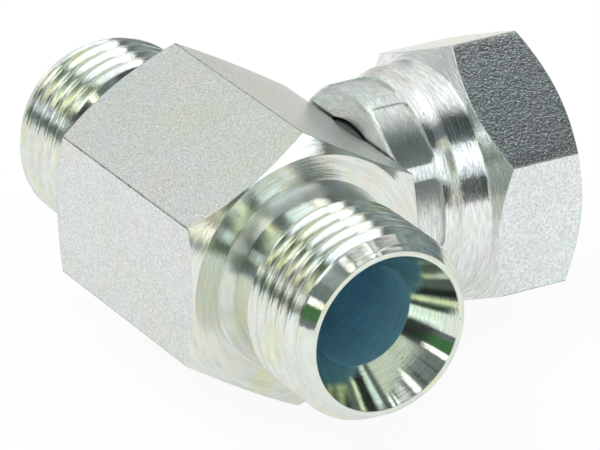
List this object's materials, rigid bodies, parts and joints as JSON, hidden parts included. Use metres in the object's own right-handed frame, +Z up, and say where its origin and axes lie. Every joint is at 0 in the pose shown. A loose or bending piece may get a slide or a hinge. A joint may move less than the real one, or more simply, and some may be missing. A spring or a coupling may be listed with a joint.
{
  "type": "hydraulic tee fitting",
  "caption": "Zinc-plated steel hydraulic tee: hexagonal bar body, male threaded studs on the run and a crimped swivel nut on the branch, sealing on 60 degree cones.",
  "frame": {"origin": "where the run axis and the branch axis cross, in the middle of the body", "axes": "+X along the run towards the open end of one stud, +Y along the branch towards the mouth of the nut, +Z up, with the body's hexagonal bar lying on a corner"},
  "size_m": [0.0604, 0.048, 0.0312],
  "materials": {
    "plated_body": "turned and cold-drawn steel under bright zinc plate with a faint yellow and green tint",
    "plated_spigot": "turned steel under bright zinc plate",
    "plated_nut": "turned and cold-drawn steel under bright zinc plate, rubbed matt where the crimp's jaws pressed"
  },
  "bodies": {
    "tee": {"tee_body": "plated_body", "branch_spigot": "plated_spigot"},
    "nut": {"swivel_nut": "plated_nut"}
  },
  "joints": [
    {"name": "nut_swivel", "type": "hinge", "parent": "tee", "child": "nut", "pos_m": [0, 0.01585, 0], "axis": [0, 1, 0], "continuous": true}
  ]
}
